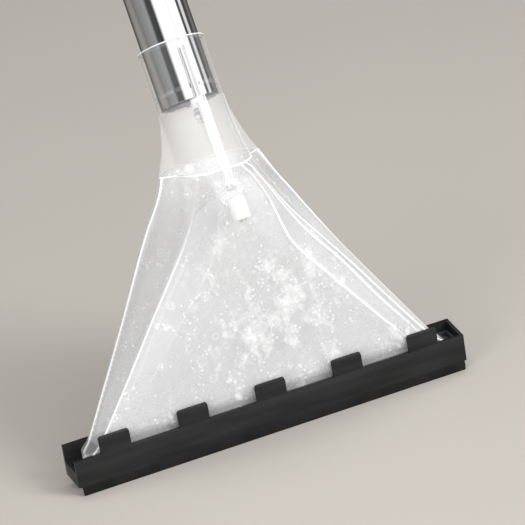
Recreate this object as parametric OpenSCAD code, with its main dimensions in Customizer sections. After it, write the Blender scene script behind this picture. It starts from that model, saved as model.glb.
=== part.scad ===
// Spray-extraction floor nozzle: a clear suction funnel with a water jet, on a chromed tube, in a
// slide-on hard-floor adapter. X runs along the adapter, +Y is the side that the tube leans to,
// +Z is up. The origin is the centre of the suction slot, level with the floor.

/* [Adapter] */
// Length of the adapter along X
adapter_len = 250; // [240:1:270]
// Depth of the adapter along Y
adapter_depth = 21.2; // [21.2:0.1:22]
// Thickness of the adapter's walls
adapter_wall = 2; // [1.6:0.1:2.2]
// Height of the wiper lips under the frame
lip_h = 6.2; // [5:0.1:8]
// Height of the front wall above the lips
front_wall_h = 16.8; // [15:0.1:17]
// Height of the rear wall above the lips
rear_wall_h = 19.6; // [17:0.1:19.8]
// Number of hooks along the front wall
hook_count = 5; // [3:1:5]
// Distance between neighbouring hooks
hook_pitch = 49.4; // [40:0.1:50]
// Width of one hook
hook_w = 19; // [10:0.5:25]

/* [Funnel] */
// Half width of the funnel's mouth
mouth_half_w = 115; // [112:1:115]
// Wall thickness of the clear shells
shell_t = 2.2; // [1.6:0.1:2.6]
// Lean of the neck and tube from the vertical, in degrees
neck_lean = 30.9; // [30:0.1:32]
// Height of the centre of the neck's rim
rim_z = 223.3; // [221:0.1:226]
// Set-back of the centre of the neck's rim
rim_y = 65.5; // [64:0.1:67]

/* [Tube] */
// Outer radius of the suction tube
tube_r = 17.5; // [17.5:0.1:17.5]
// Wall thickness of the suction tube
tube_t = 1.2; // [0.8:0.1:1.5]
// Length of the suction tube
tube_len = 220; // [160:10:500]
// Depth that the tube reaches into the neck
tube_in = 36; // [36:1:37]
// Radial clearance of a part that slides or turns in another
run_gap = 0.06; // [0.04:0.01:0.1]

/* [Water line] */
// Outer radius of the water pipe inside the tube
pipe_r = 3.6; // [3.2:0.1:3.8]
// Bore radius of the water pipe inside the tube
pipe_bore = 2.2; // [1.5:0.1:2.4]
// Width of the straight square pipe down the front of the neck
channel_w = 5.2; // [4.8:0.1:5.2]
// Bore radius of the straight square pipe
channel_bore = 1.5; // [1:0.1:1.8]
// Distance of the water line in front of the tube's axis
pipe_off = 12.2; // [12:0.1:12.4]
// Radius of the jet's nut
nut_r = 5.2; // [5:0.1:5.4]
// Length of the jet's nut
nut_len = 13; // [12.5:0.5:14]
// Distance of the jet in front of the tube's axis
jet_off = 21.6; // [21.5:0.1:21.7]

/* [Hidden] */
$fn = 64;

half_len = adapter_len / 2;
half_depth = adapter_depth / 2;
inner_y = half_depth - adapter_wall;
rail_w = 5.4;
rail_top = 15.2;
mouth_z = rail_top + 0.3;
front_top = lip_h + front_wall_h;
rear_top = lip_h + rear_wall_h;
hook_top = front_top + 10.5;
groove_y = half_depth - 2.3;
groove_half_w = 1.3;
groove_top = 10.2;
// Root of a strip in its groove, and how far the strips stop short of the adapter's ends
root_half_w = groove_half_w - 0.1;
root_top = groove_top - 0.1;
strip_in_left = 2.8;
strip_in_right = 1.2;
brush_top = lip_h - 1.2;

// Gap between the funnel's mouth and the adapter's walls
fit_gap = 0.3;
// Gap of a piece that is pressed or glued into its seat
seat_gap = 0.05;
// How far a cut runs past the face that it opens
past = 1;
// Points of one rounded corner of a funnel section
corner_steps = 6;
// Plane where the two clear shells meet: its lean, and its place at the mouth's height
parting_slope = 16.2;
parting_y = 1.5;
// Bead on the funnel's face that the hooks grip
bead_y = -7;
bead_top = 30.3;
bead_half_w = mouth_half_w - 10;
bead_shoulder_z = 20;
// Tube, in the neck's frame
tube_low = -tube_in;
tube_high = tube_len - tube_in;
tube_bore = tube_r - tube_t;
// Socket of the neck, in the neck's frame
socket_r = 19.6;
socket_low = -38;
rim_bead = 0.8;
rim_bead_h = 2.4;
shoulder_r = 16;
// Square-section seals of the tube's joints
tube_seal_h = 2.4;
tube_seal_seat_h = tube_seal_h + 0.2;
tube_seal_seat_r = tube_r + 1.2;
socket_seal_z = tube_low + 6;
coupling_seal_z = tube_high + 11;
// Water line: spigot, cups and O-rings, in the neck's frame
cup_r = 5.2;
cup_bore = 3.56;
spigot_r = cup_bore - run_gap;
spigot_bore = 1.8;
spigot_low = -48;
cup_low = -52;
cup_h = 13;
channel_high = -4.5;
bridge_w = 4.8;
bridge_h = 5;
ring_groove_z = -43.5;
ring_groove_h = 1.6;
ring_h = 1.4;
ring_core_r = 2.9;
head_ring_z = cup_low + 6;
head_ring_h = 1.7;
head_ring_seat_r = 4.5;
outlet_ring_seat_r = 4;
// Jet, in the neck's frame
jet_high = -99;
jet_spigot_r = 3.2;
jet_spigot_len = 5;
jet_ring_r = 4.1;
nut_low = jet_high - nut_len - 0.1;
tip_low = nut_low - 1.3;
tip_r = 2.1;
tip_flange_r = 2.8;
tip_top = tip_low + 5.4;
// Coupling and lock ring, in the neck's frame
coupling_r = tube_r + 2.9;
coupling_low = tube_high - 34;
coupling_high = tube_high + 38;
next_tube_low = tube_high + 6;
lock_low = tube_high + 15.3;
lock_h = 20.4;
lock_r = 24;

// Horizontal to leaning sections of the funnel, from the mouth up to the neck:
// [height, set-back, lean, half depth, front half width, rear half width, corner radius]
BODY = [
    [mouth_z, 0, 0, inner_y - fit_gap, mouth_half_w, mouth_half_w, 2],
    [bead_shoulder_z, 0, 0, inner_y - fit_gap, mouth_half_w, mouth_half_w, 2],
    [26.2, 0.2, 0, 8.1, mouth_half_w - 6.5, mouth_half_w - 4.8, 2.5],
    [50, 4, 0, 11.3, 91.5, 94.8, 4],
    [70, 7.2, 0, 13.9, 77.9, 82, 4.5],
    [90, 10.4, 0, 16.5, 64.5, 69.5, 5],
    [110, 13.6, 0, 19.1, 50.5, 57.9, 6.5],
    [130, 16.8, 0, 21.7, 37.2, 46.8, 10],
    [145, 20, 5, 23.4, 29, 38.4, 15],
    [160, 28, 12, 24, 22.8, 31, 21]
];
NECK = [
    BODY[9],
    [174.5, 36.6, 22, 21.6, 20.5, 24.5, 21],
    [rim_z + socket_low * cos(neck_lean), rim_y + socket_low * sin(neck_lean), neck_lean,
        20, 20, 20, 20]
];
// Bulge over the jet, from its foot to its top:
// [height, half width of the ridge, y of the ridge, half width of the foot, y of the foot]
HOOD = [
    [38, 86, -7.3, 95, -6],
    [62, 67, -9.8, 78, -5.4],
    [94, 43, -12.4, 57, -4.6],
    [120, 25, -15.8, 38, -3.9],
    [137, 19, -18.2, 28, -3.2],
    [150, 15.5, -17, 22, -1],
    [162, 12, -10.4, 17, 4.4],
    [164.6, 8, 5, 12, 10]
];
// Profile of one hook: [y, z], leaning back to a barb that grips the funnel's bead
HOOK = [
    [-half_depth, front_top - 1], [-inner_y, front_top - 1], [-inner_y, 30.7],
    [-8, 31.1], [-8, hook_top - 0.6], [-8.6, hook_top],
    [-9.7, hook_top], [-10.1, hook_top - 0.8]
];
// Outline of the right half of the divider plate: [x, height along the plate]
DIVIDER = [
    [14, 134], [26, 126], [48, 93], [87.2, 34], [105.2, 10.2], [111.5, 3.4], [111.5, 0]
];

// A point of a corner of one section, at angle a, pulled in by t
function corner(s, side, front, a, t) =
    let (
        w = (front < 0 ? s[4] : s[5]) - t,
        d = s[3] - t,
        rx = max(0.5, min(s[6] - t, w)),
        ry = max(0.5, min(s[6] - t, d)),
        x = side * (w - rx + rx * cos(a)),
        v = front * (d - ry + ry * sin(a))
    )
    [x, s[1] + v * cos(s[2]), s[0] - v * sin(s[2])];

// All points of one section, in order round it
function ring(s, t) = [
    for (i = [0 : corner_steps]) corner(s, 1, -1, 90 - i * 90 / corner_steps, t),
    for (i = [0 : corner_steps]) corner(s, 1, 1, i * 90 / corner_steps, t),
    for (i = [0 : corner_steps]) corner(s, -1, 1, 90 - i * 90 / corner_steps, t),
    for (i = [0 : corner_steps]) corner(s, -1, -1, i * 90 / corner_steps, t)
];

// Section moved a short way along its own axis, so that a cut runs past the face it opens
function moved(s, h) = [
    s[0] + h * cos(s[2]), s[1] + h * sin(s[2]), s[2], s[3], s[4], s[5], s[6]
];

// Closed solid through rings that all have the same number of points
module skin(rings) {
    n = len(rings[0]);
    m = len(rings);
    sides = [
        for (k = [0 : m - 2], i = [0 : n - 1])
            each [
                [k * n + i, (k + 1) * n + i, (k + 1) * n + (i + 1) % n],
                [k * n + i, (k + 1) * n + (i + 1) % n, k * n + (i + 1) % n]
            ]
    ];
    low = [[for (i = [0 : n - 1]) i]];
    high = [[for (i = [n - 1 : -1 : 0]) (m - 1) * n + i]];
    polyhedron([for (r = rings, p = r) p], concat(low, high, sides), convexity = 6);
}

// Solid loft through sections
module loft(sections) {
    skin([for (s = sections) ring(s, 0)]);
}

// Space inside a loft, run past both of its ends
module loft_space(sections) {
    last = len(sections) - 1;
    skin(concat(
        [ring(moved(sections[0], -past), shell_t)],
        [for (s = sections) ring(s, shell_t)],
        [ring(moved(sections[last], past), shell_t)]
    ));
}

// Bulge over the jet, pulled in by t and with its foot moved back by t
module hood(t) {
    skin([
        for (h = HOOD) [
            [-h[3] + t, h[4] + t, h[0] - t / 2],
            [-h[1] + t, h[2] + t, h[0] - t / 2],
            [h[1] - t, h[2] + t, h[0] - t / 2],
            [h[3] - t, h[4] + t, h[0] - t / 2]
        ]
    ]);
}

// Half space in front of the plane where the two shells meet
module front_space() {
    reach = 200;
    translate([0, parting_y, mouth_z])
        rotate([-parting_slope, 0, 0])
            translate([-reach, -reach, -reach])
                cube([2 * reach, reach, 3 * reach]);
}

// Half space just under the plane where the funnel meets the neck, and all above it
module neck_space() {
    reach = 100;
    under = 0.4;
    top = BODY[len(BODY) - 1];
    translate([0, top[1], top[0]])
        rotate([-top[2], 0, 0])
            translate([-reach, -reach, -under])
                cube([2 * reach, 2 * reach, reach]);
}

// The neck's own frame: Z along the tube, zero at the rim, -Y to the front
module on_neck() {
    translate([0, rim_y, rim_z]) rotate([-neck_lean, 0, 0]) children();
}

// A ring on the neck's axis, from z = low, with an outer radius, a bore radius and a height
module neck_ring(low, outer, bore, h) {
    difference() {
        translate([0, 0, low]) cylinder(r = outer, h = h);
        translate([0, 0, low - past]) cylinder(r = bore, h = h + 2 * past);
    }
}

// A round piece of the water line in the neck's frame
module line_rod(off, low, r, h) {
    translate([0, -off, low]) cylinder(r = r, h = h);
}

// An O-ring on the water line, from z = low, with an outer radius, a bore radius and a height
module line_ring(off, low, outer, bore, h) {
    difference() {
        line_rod(off, low, outer, h);
        line_rod(off, low - past, bore, h + 2 * past);
    }
}

// The straight pipe down the front of the neck with its bridge to the cup, swollen by t
module channel_body(t) {
    channel_low = jet_high + 5;
    half = channel_w / 2 + t;
    translate([-half, -jet_off - half, channel_low - t])
        cube([2 * half, 2 * half, channel_high - channel_low + 2 * t]);
    translate([-bridge_w / 2 - t, -jet_off, cup_low - t])
        cube([bridge_w + 2 * t, jet_off - pipe_off, bridge_h + 2 * t]);
}

// Space inside the funnel and its bulge
module body_space() {
    loft_space(BODY);
    hood(shell_t);
}

// Front half of the funnel: face, sides, bulge over the jet and the bead that the hooks grip
module front_shell() {
    color("gainsboro", 0.5)
        intersection() {
            difference() {
                union() {
                    loft(BODY);
                    difference() {
                        hood(0);
                        neck_space();
                    }
                    translate([0, bead_y, 0])
                        rotate([90, 0, 0])
                            linear_extrude(inner_y - fit_gap + bead_y)
                                polygon([
                                    [-mouth_half_w, mouth_z], [mouth_half_w, mouth_z],
                                    [mouth_half_w, bead_shoulder_z], [bead_half_w, bead_top],
                                    [-bead_half_w, bead_top], [-mouth_half_w, bead_shoulder_z]
                                ]);
                }
                body_space();
                on_neck() channel_body(seat_gap);
            }
            front_space();
        }
}

// Rear half of the funnel: the back plate with its shallow rim
module rear_shell() {
    color("gainsboro", 0.5)
        difference() {
            loft(BODY);
            loft_space(BODY);
            front_space();
        }
}

// Neck with the straight socket for the tube
module tube_socket() {
    bore_low = tube_low - 0.2;
    blend_h = 3;
    color("whitesmoke", 0.5)
        difference() {
            union() {
                loft(NECK);
                on_neck() {
                    translate([0, 0, socket_low]) cylinder(r = socket_r, h = -socket_low);
                    translate([0, 0, -rim_bead_h])
                        cylinder(r = socket_r + rim_bead, h = rim_bead_h);
                }
            }
            loft_space([NECK[0], NECK[1], moved(NECK[2], -past)]);
            on_neck() {
                translate([0, 0, socket_low - blend_h])
                    cylinder(r = shoulder_r, h = blend_h + bore_low - socket_low + past);
                translate([0, 0, bore_low]) cylinder(r = tube_r + run_gap, h = past - bore_low);
                translate([0, 0, socket_seal_z])
                    cylinder(r = tube_seal_seat_r, h = tube_seal_seat_h);
                channel_body(seat_gap);
            }
        }
}

// Square-section ring that seals the tube in the neck
module socket_seal() {
    color("lightgray")
        on_neck()
            neck_ring(
                socket_seal_z + 0.1, tube_seal_seat_r - seat_gap, tube_r + run_gap, tube_seal_h
            );
}

// Wall between the spray chamber and the suction duct
module spray_divider() {
    plate_t = 1.4;
    plate_lean = 2.2;
    plate_y = -1.9;
    last = len(DIVIDER) - 1;
    color("gainsboro", 0.5)
        difference() {
            translate([0, plate_y, mouth_z + 0.5])
                rotate([90 - plate_lean, 0, 0])
                    linear_extrude(plate_t)
                        polygon(concat(
                            DIVIDER, [for (i = [last : -1 : 0]) [-DIVIDER[i][0], DIVIDER[i][1]]]
                        ));
            // Cut-out for the jet's collar
            on_neck() line_rod(jet_off, jet_high - 20, 9.8, 40);
        }
}

// Pipe down the front of the neck to the jet, with the cup that the tube's spigot plugs into
module head_water_pipe() {
    channel_low = jet_high + 5;
    passage_r = 1.2;
    color("white", 0.7)
        on_neck()
            difference() {
                union() {
                    channel_body(0);
                    line_rod(pipe_off, cup_low, cup_r, cup_h);
                }
                line_rod(
                    jet_off, channel_low - past, channel_bore,
                    channel_high - channel_low - past
                );
                line_rod(pipe_off, cup_low + past, cup_bore, cup_h);
                line_rod(pipe_off, head_ring_z, head_ring_seat_r, head_ring_h + 0.2);
                // Passage from the cup's floor across to the straight pipe
                translate([0, -pipe_off, cup_low + bridge_h / 2])
                    rotate([90, 0, 0])
                        cylinder(r = passage_r, h = jet_off - pipe_off);
            }
}

// O-ring in the head pipe's cup
module head_pipe_seal() {
    color("dimgray")
        on_neck()
            line_ring(
                pipe_off, head_ring_z + 0.1, head_ring_seat_r - seat_gap, cup_bore, head_ring_h
            );
}

// Collar on the lower end of the straight pipe, with the spigot for the jet's nut
module jet_holder() {
    collar_r = 7.6;
    collar_h = 6;
    sleeve_r = 4.4;
    sleeve_h = 8;
    color("white", 0.7)
        on_neck()
            difference() {
                union() {
                    line_rod(jet_off, jet_high, collar_r, collar_h);
                    line_rod(jet_off, jet_high, sleeve_r, sleeve_h);
                    line_rod(jet_off, jet_high - jet_spigot_len, jet_spigot_r, collar_h);
                }
                channel_body(seat_gap);
                line_rod(
                    jet_off, jet_high - jet_spigot_len - past, pipe_bore,
                    jet_spigot_len + 5 + past
                );
            }
}

// O-ring on the jet holder's spigot
module jet_seal() {
    color("dimgray")
        on_neck()
            line_ring(jet_off, jet_high - 1.7, jet_ring_r, jet_spigot_r + seat_gap, 1.6);
}

// Nut that holds the jet's tip on the holder
module jet_nut() {
    groove_step = 30;
    groove_r = 0.5;
    groove_h = 8;
    color("white")
        on_neck()
            difference() {
                line_rod(jet_off, nut_low, nut_r, nut_len);
                line_rod(
                    jet_off, jet_high - jet_spigot_len - 0.3, jet_spigot_r + run_gap,
                    jet_spigot_len + past
                );
                line_rod(jet_off, jet_high - 1.8, jet_ring_r + 0.1, 2);
                line_rod(jet_off, nut_low + 2, tip_flange_r + 0.1, 10);
                line_rod(jet_off, nut_low - past, tip_r + 0.1, 4);
                for (a = [0 : groove_step : 360 - groove_step])
                    translate([0, -jet_off, nut_low + 1])
                        rotate([0, 0, a])
                            translate([nut_r + 0.2, 0, 0]) cylinder(r = groove_r, h = groove_h);
            }
}

// Tip of the jet, with the slot that spreads the water
module jet_tip() {
    slot_w = 0.6;
    slot_h = 0.9;
    bore_r = 0.9;
    hole_r = 0.5;
    color("goldenrod")
        on_neck()
            difference() {
                union() {
                    line_rod(jet_off, tip_low, tip_r, 4);
                    line_rod(jet_off, tip_top - 2, tip_flange_r, 2);
                }
                line_rod(jet_off, tip_low + 1.5, bore_r, 5);
                translate([-tip_flange_r, -jet_off - slot_w / 2, tip_low - past])
                    cube([2 * tip_flange_r, slot_w, slot_h + past]);
                line_rod(jet_off, tip_low - past, hole_r, 5);
            }
}

// Mesh cup that keeps grit out of the jet
module jet_filter() {
    cup_z = tip_top + 0.1;
    cup_h = 3.4;
    outer_r = 2.4;
    wall = 0.5;
    color("silver")
        on_neck()
            difference() {
                line_rod(jet_off, cup_z, outer_r, cup_h);
                line_rod(jet_off, cup_z + wall + 0.1, outer_r - wall, cup_h);
            }
}

// A prism along X with a [y, z] profile
module along_x(x0, x1, profile) {
    translate([x0, 0, 0])
        rotate([90, 0, 90])
            linear_extrude(x1 - x0)
                polygon(profile);
}

// Black channel that slides on the funnel's mouth: rails, walls, hooks, cross ribs and ends
module adapter_frame() {
    rib_t = 1.6;
    rib_z = 8;
    rib_h = 5;
    rib_in = 4;
    first_hook = -(hook_count - 1) / 2 * hook_pitch;
    color("#2b2b2b")
        difference() {
            union() {
                for (side = [-1, 1])
                    translate([-half_len, side < 0 ? -half_depth : half_depth - rail_w, lip_h])
                        cube([adapter_len, rail_w, rail_top - lip_h]);
                translate([-half_len, -half_depth, lip_h])
                    cube([adapter_len, adapter_wall, front_wall_h]);
                translate([-half_len, inner_y, lip_h])
                    cube([adapter_len, adapter_wall, rear_wall_h]);
                for (i = [0 : hook_count - 1])
                    along_x(
                        first_hook + i * hook_pitch - hook_w / 2,
                        first_hook + i * hook_pitch + hook_w / 2,
                        HOOK
                    );
                for (i = [0 : hook_count - 1])
                    translate([first_hook + i * hook_pitch - rib_t / 2, rib_in - half_depth, rib_z])
                        cube([rib_t, adapter_depth - 2 * rib_in, rib_h]);
                translate([-half_len, -half_depth, lip_h])
                    cube([adapter_wall, adapter_depth, rail_top - lip_h]);
                along_x(half_len - adapter_wall, half_len, [
                    [-half_depth, lip_h], [half_depth, lip_h],
                    [half_depth, rear_top], [-half_depth, front_top]
                ]);
            }
            for (side = [-1, 1])
                translate([adapter_wall - half_len, side * groove_y - groove_half_w, lip_h - past])
                    cube([adapter_len, 2 * groove_half_w, groove_top - lip_h + past]);
        }
}

// Rubber lip under the front wall: a blade [distance from the face, z] with a root in the groove
module squeegee_lip() {
    face = -half_depth;
    top = lip_h - seat_gap;
    color("#1a1a1a")
        along_x(-half_len + strip_in_left, half_len - strip_in_right, [
            [face, top], [face, 2.6], [face + 0.5, 0], [face + 2.1, 0], [face + 3.4, 3],
            [face + 4, top],
            [-groove_y + root_half_w, top], [-groove_y + root_half_w, root_top],
            [-groove_y - root_half_w, root_top], [-groove_y - root_half_w, top]
        ]);
}

// Strip in the rear groove that holds the bristles
module brush_backing() {
    color("#262626")
        along_x(-half_len + strip_in_left, half_len - strip_in_right, [
            [groove_y - root_half_w, brush_top], [groove_y + root_half_w, brush_top],
            [groove_y + root_half_w, root_top], [groove_y - root_half_w, root_top]
        ]);
}

// The bristles as one pack
module bristles() {
    tip_half_w = 1.5;
    foot_half_w = 0.9;
    end_in = 1.2;
    color("#3a3a3a")
        along_x(-half_len + strip_in_left + end_in, half_len - strip_in_right - end_in, [
            [groove_y - tip_half_w, 0], [groove_y + tip_half_w, 0],
            [groove_y + foot_half_w, brush_top - seat_gap],
            [groove_y - foot_half_w, brush_top - seat_gap]
        ]);
}

// Rubber block that closes the gap between the mouth and the adapter's closed end
module end_seal() {
    block_x = mouth_half_w + fit_gap;
    block_w = half_len - adapter_wall - block_x - 0.1;
    block_d = 2 * inner_y - 0.2;
    block_h = 4.6;
    wall = 2;
    color("#46504a")
        difference() {
            translate([block_x, -block_d / 2, rail_top + seat_gap])
                cube([block_w, block_d, block_h]);
            translate([block_x + wall - 0.3, wall - inner_y, rail_top + wall])
                cube([4, 2 * (inner_y - wall), block_h]);
        }
}

// Chromed steel tube
module suction_tube() {
    color("silver") on_neck() neck_ring(tube_low, tube_r, tube_bore, tube_len);
}

// Ring in the tube's lower end that carries the water line
module tube_guide() {
    guide_r = tube_bore - seat_gap;
    guide_low = tube_low + 1;
    guide_h = 12;
    wall = 1.4;
    boss_r = 5.4;
    color("#2f3338")
        on_neck()
            difference() {
                union() {
                    neck_ring(guide_low, guide_r, guide_r - wall, guide_h);
                    intersection() {
                        line_rod(pipe_off, guide_low, boss_r, guide_h);
                        translate([0, 0, guide_low]) cylinder(r = guide_r - wall / 2, h = guide_h);
                    }
                }
                line_rod(pipe_off, guide_low - past, pipe_r + seat_gap, guide_h + 2 * past);
            }
}

// Water pipe inside the tube
module tube_water_line() {
    line_len = tube_len - 10;
    color("white", 0.8)
        on_neck()
            line_ring(pipe_off, tube_low + 4, pipe_r, pipe_bore, line_len);
}

// Spigot on the lower end of the water pipe, which plugs into the head's pipe
module water_plug() {
    color("white")
        on_neck()
            difference() {
                union() {
                    line_rod(pipe_off, spigot_low, spigot_r, tube_low + 2 - spigot_low);
                    line_rod(pipe_off, tube_low + 0.2, pipe_r, 3.7);
                }
                line_rod(pipe_off, spigot_low - past, spigot_bore, 20);
                line_ring(pipe_off, ring_groove_z, cup_r, ring_core_r, ring_groove_h);
            }
}

// O-ring on the spigot
module plug_seal() {
    color("dimgray")
        on_neck()
            line_ring(pipe_off, ring_groove_z + 0.1, spigot_r, ring_core_r + 0.02, ring_h);
}

// Black socket on the tube's upper end, where the next tube goes
module tube_coupling() {
    grip_r = coupling_r + 2;
    grip_h = 46;
    flange_r = coupling_r + 1.6;
    flange_h = 2;
    groove_step = 15;
    groove_r = 1.2;
    groove_h = 30;
    color("#262626")
        on_neck()
            difference() {
                union() {
                    translate([0, 0, coupling_low])
                        cylinder(r = coupling_r, h = coupling_high - coupling_low);
                    translate([0, 0, coupling_low + 3]) cylinder(r = grip_r, h = grip_h);
                    translate([0, 0, coupling_high - flange_h])
                        cylinder(r = flange_r, h = flange_h);
                }
                // Seat on the tube's end, the way through, and the bore for the next tube
                translate([0, 0, coupling_low - past])
                    cylinder(r = tube_r + 0.02, h = tube_high - coupling_low + past + 0.1);
                translate([0, 0, coupling_low]) cylinder(r = tube_bore, h = 50);
                translate([0, 0, next_tube_low])
                    cylinder(r = tube_r + run_gap, h = coupling_high - next_tube_low + past);
                translate([0, 0, coupling_seal_z])
                    cylinder(r = tube_seal_seat_r + 0.1, h = tube_seal_seat_h);
                for (a = [0 : groove_step : 360 - groove_step])
                    rotate([0, 0, a])
                        translate([grip_r + 0.5, 0, coupling_low + 7])
                            cylinder(r = groove_r, h = groove_h);
            }
}

// Square-section ring that seals the next tube
module coupling_seal() {
    color("dimgray")
        on_neck()
            neck_ring(
                coupling_seal_z + 0.1, tube_seal_seat_r + seat_gap, tube_r + run_gap, tube_seal_h
            );
}

// Cup on the upper end of the water pipe, for the next tube's spigot
module water_outlet() {
    outlet_low = tube_high - 6;
    outlet_h = 12;
    floor_h = 2;
    color("white")
        on_neck()
            difference() {
                intersection() {
                    line_rod(pipe_off, outlet_low, cup_r, outlet_h);
                    translate([0, 0, outlet_low]) cylinder(r = tube_bore - 0.1, h = outlet_h);
                }
                line_rod(pipe_off, outlet_low - past, spigot_bore, outlet_h);
                line_rod(pipe_off, outlet_low + floor_h, cup_bore, outlet_h);
                line_rod(pipe_off, tube_high, outlet_ring_seat_r, ring_groove_h);
            }
}

// O-ring in the upper cup
module outlet_seal() {
    color("dimgray")
        on_neck()
            line_ring(
                pipe_off, tube_high + 0.1, outlet_ring_seat_r - seat_gap, cup_bore, ring_h
            );
}

// Knurled ring that turns on the coupling to lock the next tube
module lock_ring() {
    tab_w = 10;
    tab_in = 3;
    knurl_step = 12;
    knurl_r = 0.8;
    knurl_in = 2;
    color("#333333")
        on_neck()
            difference() {
                union() {
                    neck_ring(lock_low, lock_r, coupling_r + run_gap, lock_h);
                    for (a = [-90, 90])
                        rotate([0, 0, a])
                            translate([lock_r - 1.4, -tab_w / 2, lock_low + tab_in])
                                cube([4, tab_w, lock_h - 2 * tab_in]);
                }
                for (a = [0 : knurl_step : 360 - knurl_step])
                    rotate([0, 0, a])
                        translate([lock_r + knurl_r / 2, 0, lock_low + knurl_in])
                            cylinder(r = knurl_r, h = lock_h - 2 * knurl_in);
            }
}

front_shell();
rear_shell();
tube_socket();
socket_seal();
spray_divider();
head_water_pipe();
head_pipe_seal();
jet_holder();
jet_seal();
jet_nut();
jet_tip();
jet_filter();
adapter_frame();
squeegee_lip();
brush_backing();
bristles();
end_seal();
suction_tube();
tube_guide();
tube_water_line();
water_plug();
plug_seal();
tube_coupling();
coupling_seal();
water_outlet();
outlet_seal();
lock_ring();
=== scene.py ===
"""Spray-extraction floor nozzle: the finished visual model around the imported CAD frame."""

import math
import random

import bmesh
import bpy
from mathutils import Matrix, Vector


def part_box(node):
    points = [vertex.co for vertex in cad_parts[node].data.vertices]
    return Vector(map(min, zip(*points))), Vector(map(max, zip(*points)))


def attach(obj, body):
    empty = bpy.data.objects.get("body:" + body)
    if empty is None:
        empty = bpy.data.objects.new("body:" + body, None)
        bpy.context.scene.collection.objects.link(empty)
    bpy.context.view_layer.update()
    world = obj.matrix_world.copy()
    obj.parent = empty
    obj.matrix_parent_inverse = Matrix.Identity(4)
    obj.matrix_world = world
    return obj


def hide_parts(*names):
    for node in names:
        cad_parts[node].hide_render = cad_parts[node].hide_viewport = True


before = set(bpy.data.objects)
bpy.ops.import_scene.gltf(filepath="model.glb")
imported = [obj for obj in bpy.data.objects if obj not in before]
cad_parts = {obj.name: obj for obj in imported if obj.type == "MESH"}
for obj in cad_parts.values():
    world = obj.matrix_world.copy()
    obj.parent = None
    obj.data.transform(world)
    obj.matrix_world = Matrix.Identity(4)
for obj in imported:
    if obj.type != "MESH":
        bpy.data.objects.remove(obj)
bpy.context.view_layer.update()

MM = 0.001

# ---------------------------------------------------------------- sizes, in millimetres
NECK_LEAN = math.radians(30.9)
RIM_Y, RIM_Z = 65.5, 223.3
SHELL_T = 2.2
MOUTH_Z = 15.5
PARTING_Y = 1.5
PARTING_SLOPE = math.tan(math.radians(16.2))
TUBE_R, TUBE_T, TUBE_LOW, TUBE_HIGH = 17.5, 1.2, -36.0, 184.0
SOCKET_LOW = -38.0
PIPE_OFF, PIPE_R, PIPE_BORE = 12.2, 3.6, 2.2
JET_OFF, JET_HIGH = 21.6, -99.0
CHANNEL_W, CHANNEL_HIGH = 5.2, -4.5
CUP_LOW, CUP_HIGH, BRIDGE_W, BRIDGE_H = -52.0, -39.0, 4.8, 5.0

# The neck's own frame: Z along the tube, zero at the rim, -Y to the front
NECK = (
    Matrix.Translation((0, RIM_Y * MM, RIM_Z * MM))
    @ Matrix.Rotation(-NECK_LEAN, 4, "X")
)

# Sections of the funnel, as in the CAD:
# height, set-back, lean, half depth, front half width, rear half width, corner radius
SECTIONS = [
    (15.5, 0, 0, 8.3, 115, 115, 2),
    (20, 0, 0, 8.3, 115, 115, 2),
    (26.2, 0.2, 0, 8.1, 108.5, 110.2, 2.5),
    (50, 4, 0, 11.3, 91.5, 94.8, 4),
    (70, 7.2, 0, 13.9, 77.9, 82, 4.5),
    (90, 10.4, 0, 16.5, 64.5, 69.5, 5),
    (110, 13.6, 0, 19.1, 50.5, 57.9, 6.5),
    (130, 16.8, 0, 21.7, 37.2, 46.8, 10),
    (145, 20, 5, 23.4, 29, 38.4, 15),
    (160, 28, 12, 24, 22.8, 31, 21),
    (174.5, 36.6, 22, 21.6, 20.5, 24.5, 21),
    (
        RIM_Z + SOCKET_LOW * math.cos(NECK_LEAN),
        RIM_Y + SOCKET_LOW * math.sin(NECK_LEAN),
        math.degrees(NECK_LEAN), 20, 20, 20, 20,
    ),
]
BODY_COUNT = 10

# Bulge over the jet: height, how far it stands proud, half width of ridge and of foot
HOOD = [
    (15.5, 0.0, 100, 108),
    (36, 0.0, 87, 96),
    (50, 1.3, 76, 86),
    (62, 2.9, 67, 77.5),
    (94, 6.4, 43, 56.5),
    (120, 10.6, 25, 37.5),
    (137, 13.8, 19, 28),
    (150, 14.8, 15.5, 22),
    (158, 13.9, 13, 18.5),
    (162, 12.6, 11.5, 16.5),
    (164.4, 0.0, 10, 14),
]


# ---------------------------------------------------------------- mesh helpers
def shade(bm, sharp_deg):
    """Smooth faces, with edges sharper than an angle kept sharp."""
    bmesh.ops.recalc_face_normals(bm, faces=bm.faces)
    limit = math.radians(sharp_deg)
    for f in bm.faces:
        f.smooth = True
    for e in bm.edges:
        e.smooth = len(e.link_faces) == 2 and e.calc_face_angle(0) < limit


def finish_piece(name, bm, material, body, nodes=(), sharp_deg=35):
    """Turns a bmesh into a named piece that rides on a body and stands for CAD nodes."""
    shade(bm, sharp_deg)
    bmesh.ops.triangulate(bm, faces=[f for f in bm.faces if len(f.verts) > 4])
    mesh = bpy.data.meshes.new(name)
    bm.to_mesh(mesh)
    bm.free()
    obj = bpy.data.objects.new(name, mesh)
    bpy.context.scene.collection.objects.link(obj)
    obj.data.materials.append(material)
    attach(obj, body)
    if nodes:
        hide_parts(*nodes)
    return obj


def quad_grid(bm, rows, wrap, flip=False):
    """Adds a grid of quads through rows of vertices."""
    for low, high in zip(rows, rows[1:]):
        count = len(low)
        for i in range(count if wrap else count - 1):
            j = (i + 1) % count
            quad = (low[i], low[j], high[j], high[i])
            bm.faces.new(reversed(quad) if flip else quad)


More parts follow.
